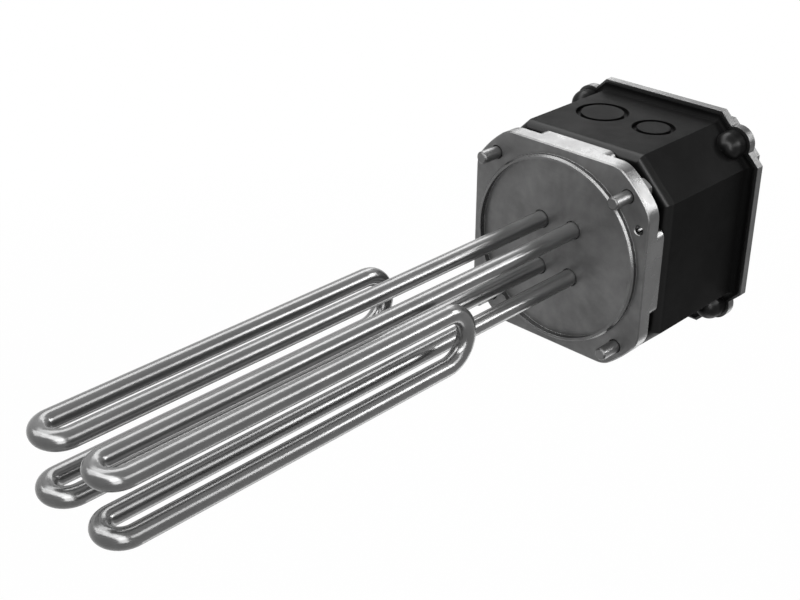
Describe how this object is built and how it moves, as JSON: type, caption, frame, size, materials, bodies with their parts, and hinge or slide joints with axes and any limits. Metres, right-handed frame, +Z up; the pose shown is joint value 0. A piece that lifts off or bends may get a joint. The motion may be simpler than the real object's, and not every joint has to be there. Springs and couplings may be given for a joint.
{
  "type": "jacket water heating element",
  "caption": "Flanged immersion heater: doubled-back sheathed tubes on a square bolted flange with a pilot ring, and an eight-sided terminal box with a screwed rear cover.",
  "frame": {"origin": "centre of the flange's mounting face, on the axis of the pilot ring and the bolt square", "axes": "-Y along the heating tubes into the water, +Y through the terminal box to its cover, +Z up towards the conduit knockouts, +X right when looking along +Y"},
  "size_m": [0.1488, 0.4702, 0.1488],
  "materials": {
    "flange_steel": "satin machined",
    "sheath_steel": "polished",
    "bolt_steel": "zinc plated",
    "screw_steel": "zinc plated",
    "pin_steel": "nickel plated",
    "box_moulding": "matte moulded",
    "gasket_rubber": "matte",
    "cover_aluminium": "fine cast, edges machined",
    "strap_brass": "rolled",
    "nut_brass": "nickel plated",
    "bushing_ceramic": "unglazed"
  },
  "bodies": {
    "root": {"flange_plate": "flange_steel", "heating_element_left": "sheath_steel", "heating_element_right": "sheath_steel", "terminal_box": "box_moulding", "box_gasket": "gasket_rubber", "cover_gasket": "gasket_rubber", "rear_cover": "cover_aluminium", "jumper_strap_upper": "strap_brass", "jumper_strap_lower": "strap_brass", "lower_nuts": "nut_brass", "upper_nuts": "nut_brass", "strap_washers": "nut_brass", "earth_screw": "screw_steel", "earth_washer": "nut_brass", "terminal_pin_upper_left": "pin_steel", "ceramic_bushing_upper_left": "bushing_ceramic", "flange_bolt_upper_left": "bolt_steel", "cover_screw_upper_left": "screw_steel", "terminal_pin_upper_right": "pin_steel", "ceramic_bushing_upper_right": "bushing_ceramic", "flange_bolt_upper_right": "bolt_steel", "cover_screw_upper_right": "screw_steel", "terminal_pin_lower_left": "pin_steel", "ceramic_bushing_lower_left": "bushing_ceramic", "flange_bolt_lower_left": "bolt_steel", "cover_screw_lower_left": "screw_steel", "terminal_pin_lower_right": "pin_steel", "ceramic_bushing_lower_right": "bushing_ceramic", "flange_bolt_lower_right": "bolt_steel", "cover_screw_lower_right": "screw_steel", "box_screw_top": "screw_steel", "box_screw_bottom": "screw_steel", "box_screw_left": "screw_steel", "box_screw_right": "screw_steel"}
  },
  "joints": []
}
